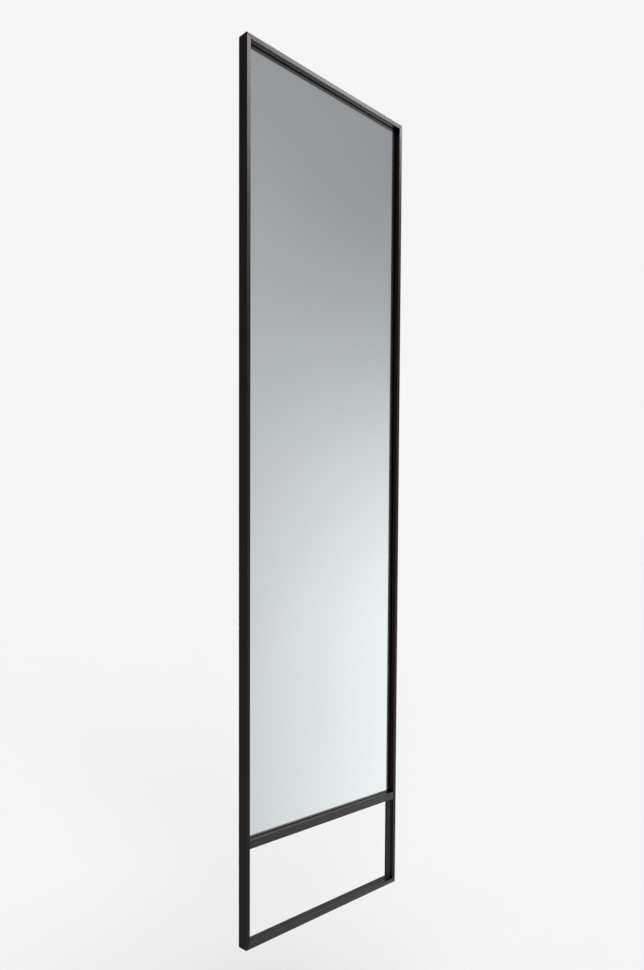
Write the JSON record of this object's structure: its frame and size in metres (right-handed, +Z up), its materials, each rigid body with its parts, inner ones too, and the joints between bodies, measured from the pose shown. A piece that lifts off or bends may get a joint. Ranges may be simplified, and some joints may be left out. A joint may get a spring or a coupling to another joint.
{
  "type": "pull-out wardrobe mirror",
  "caption": "Tall slim-framed mirror that pulls out sideways on telescopic slides and swivels on vertical pivots; the frame is open at its foot, below a crossbar.",
  "frame": {"origin": "at the foot of the mirror's frame, in the middle of the whole width and depth", "axes": "+Z up; the glass faces -Y; the wardrobe's side is at +Y; the mirror is pulled out towards -X"},
  "size_m": [0.333, 0.048, 1.22],
  "materials": {
    "bronze_aluminium": "satin",
    "silvered_glass": "polished",
    "grey_sheet": "matte",
    "bronze_steel": "satin",
    "zinc_steel": "satin",
    "galvanised_steel": "satin",
    "cage_steel": "satin",
    "black_steel": "satin",
    "black_rubber": "matte",
    "white_foam": "matte",
    "nylon": "satin",
    "dark_plastic": "matte",
    "cast_zinc": "matte"
  },
  "bodies": {
    "side_mount": {"lower_outer_member": "galvanised_steel", "upper_outer_member": "galvanised_steel", "rear_buffers": "black_rubber"},
    "carriage": {"lower_inner_member": "galvanised_steel", "upper_inner_member": "galvanised_steel", "carrier_post": "bronze_aluminium", "post_end_caps": "dark_plastic", "carrier_screws": "zinc_steel", "lower_pivot_arm": "bronze_steel", "upper_pivot_arm": "bronze_steel", "pivot_bushes": "nylon"},
    "mirror": {"left_stile": "bronze_aluminium", "right_stile": "bronze_aluminium", "top_rail": "bronze_aluminium", "bottom_rail": "bronze_aluminium", "crossbar": "bronze_aluminium", "corner_keys": "cast_zinc", "crossbar_keys": "cast_zinc", "groove_fillers": "dark_plastic", "mirror_glass": "silvered_glass", "foam_tape": "white_foam", "backing_panel": "grey_sheet", "edge_gasket": "black_rubber", "weld_studs": "zinc_steel", "bracket_nuts": "zinc_steel", "pivot_pins": "zinc_steel", "pin_washers": "black_steel", "lower_pivot_bracket": "bronze_steel", "upper_pivot_bracket": "bronze_steel"},
    "lower_outer_cage": {"lower_outer_cage": "cage_steel"},
    "lower_intermediate": {"lower_intermediate_member": "galvanised_steel"},
    "lower_inner_cage": {"lower_inner_cage": "cage_steel"},
    "upper_outer_cage": {"upper_outer_cage": "cage_steel"},
    "upper_intermediate": {"upper_intermediate_member": "galvanised_steel"},
    "upper_inner_cage": {"upper_inner_cage": "cage_steel"}
  },
  "joints": [
    {"name": "slide_extension", "type": "slide", "parent": "side_mount", "child": "carriage", "axis": [-1, 0, 0], "range_m": [0, 0.3]},
    {"name": "lower_outer_cage_slide", "type": "slide", "parent": "side_mount", "child": "lower_outer_cage", "axis": [-1, 0, 0], "range_m": [0, 0.075]},
    {"name": "lower_intermediate_slide", "type": "slide", "parent": "side_mount", "child": "lower_intermediate", "axis": [-1, 0, 0], "range_m": [0, 0.15]},
    {"name": "lower_inner_cage_slide", "type": "slide", "parent": "side_mount", "child": "lower_inner_cage", "axis": [-1, 0, 0], "range_m": [0, 0.225]},
    {"name": "upper_outer_cage_slide", "type": "slide", "parent": "side_mount", "child": "upper_outer_cage", "axis": [-1, 0, 0], "range_m": [0, 0.075]},
    {"name": "upper_intermediate_slide", "type": "slide", "parent": "side_mount", "child": "upper_intermediate", "axis": [-1, 0, 0], "range_m": [0, 0.15]},
    {"name": "upper_inner_cage_slide", "type": "slide", "parent": "side_mount", "child": "upper_inner_cage", "axis": [-1, 0, 0], "range_m": [0, 0.225]},
    {"name": "mirror_swivel", "type": "hinge", "parent": "carriage", "child": "mirror", "pos_m": [-0.1445, 0.0033, 0], "axis": [0, 0, -1], "range_deg": [0, 90]}
  ],
  "couplings": [
    {"joint": "lower_outer_cage_slide", "follows": "slide_extension", "ratio": 0.25},
    {"joint": "lower_intermediate_slide", "follows": "slide_extension", "ratio": 0.5},
    {"joint": "lower_inner_cage_slide", "follows": "slide_extension", "ratio": 0.75},
    {"joint": "upper_outer_cage_slide", "follows": "slide_extension", "ratio": 0.25},
    {"joint": "upper_intermediate_slide", "follows": "slide_extension", "ratio": 0.5},
    {"joint": "upper_inner_cage_slide", "follows": "slide_extension", "ratio": 0.75}
  ]
}
